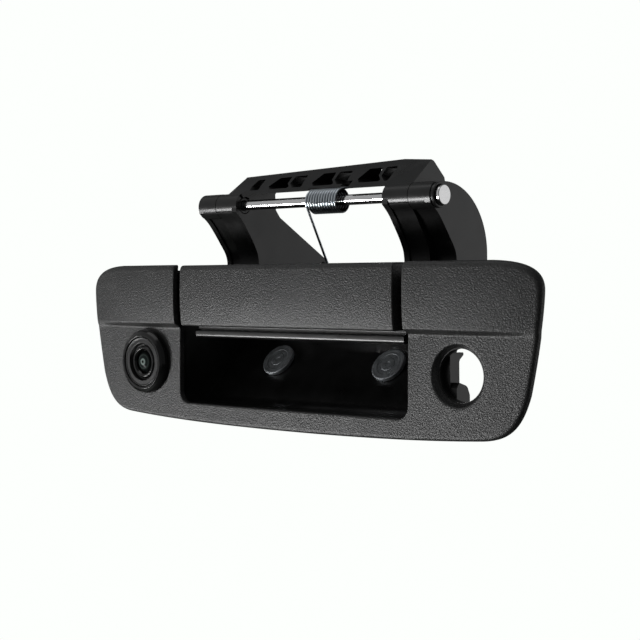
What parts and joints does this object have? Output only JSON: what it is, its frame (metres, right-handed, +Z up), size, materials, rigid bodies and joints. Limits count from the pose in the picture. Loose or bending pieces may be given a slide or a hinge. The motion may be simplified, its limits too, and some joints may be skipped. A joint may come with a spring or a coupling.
{
  "type": "tailgate handle backup camera",
  "caption": "Pickup tailgate handle with sprung lift paddle on a steel hinge pin, finger pocket, lock cylinder hole and a small round backup camera in its bezel.",
  "frame": {"origin": "middle of the lower rim's back face, which lies on the tailgate skin", "axes": "+X to the right as seen from behind the truck, +Y into the tailgate, +Z up"},
  "size_m": [0.27, 0.0893, 0.1219],
  "materials": {
    "grained_black": "fine leather grain, satin",
    "smooth_black": "smooth moulded, semi gloss",
    "gloss_black": "gloss",
    "acetal": "smooth satin",
    "polished_steel": "polished",
    "zinc_steel": "bright zinc",
    "stud_steel": "turned, dark",
    "rubber": "matte",
    "foam_seal": "closed-cell foam, matte",
    "lens_glass": "polished, coated",
    "circuit_board": "solder mask",
    "sensor_chip": "moulded chip"
  },
  "bodies": {
    "base": {"bezel": "grained_black", "handle_base": "smooth_black", "camera_face_cone": "smooth_black", "lens_barrel": "smooth_black", "camera_housing": "smooth_black", "camera_ring_nut": "smooth_black", "camera_back_cover": "smooth_black", "camera_trim_ring": "gloss_black", "lens_hood": "gloss_black", "lock_retainer": "gloss_black", "hinge_pin": "polished_steel", "torsion_spring": "zinc_steel", "pin_retainer": "zinc_steel", "flange_nut_left": "zinc_steel", "flange_nut_right": "zinc_steel", "mounting_stud_left": "stud_steel", "mounting_stud_right": "stud_steel", "stud_washer_left": "rubber", "stud_washer_right": "rubber", "bump_stop_left": "rubber", "bump_stop_right": "rubber", "wing_gasket_left": "foam_seal", "wing_gasket_right": "foam_seal", "lens_seal": "rubber", "cable_gland": "rubber", "lens_glass": "lens_glass", "rear_lens": "lens_glass", "sensor_board": "circuit_board", "image_sensor": "sensor_chip", "bezel_screw_1": "zinc_steel", "bezel_screw_2": "zinc_steel", "bezel_screw_3": "zinc_steel", "bezel_screw_4": "zinc_steel", "cover_screw_1": "zinc_steel", "cover_screw_2": "zinc_steel"},
    "lever": {"paddle": "grained_black", "paddle_liner": "smooth_black", "lever_arm_left": "smooth_black", "lever_arm_right": "smooth_black", "lever_bar": "smooth_black", "pivot_bushing_left": "acetal", "pivot_bushing_right": "acetal", "paddle_screw_1": "zinc_steel", "paddle_screw_2": "zinc_steel", "paddle_screw_3": "zinc_steel", "paddle_screw_4": "zinc_steel"}
  },
  "joints": [
    {"name": "paddle_hinge", "type": "hinge", "parent": "base", "child": "lever", "pos_m": [0, 0.013, 0.1014], "axis": [-1, 0, 0], "range_deg": [0, 25], "stiffness_Nm_per_rad": 0.35, "springref_deg": -40.11, "deforming": ["torsion_spring"]}
  ]
}
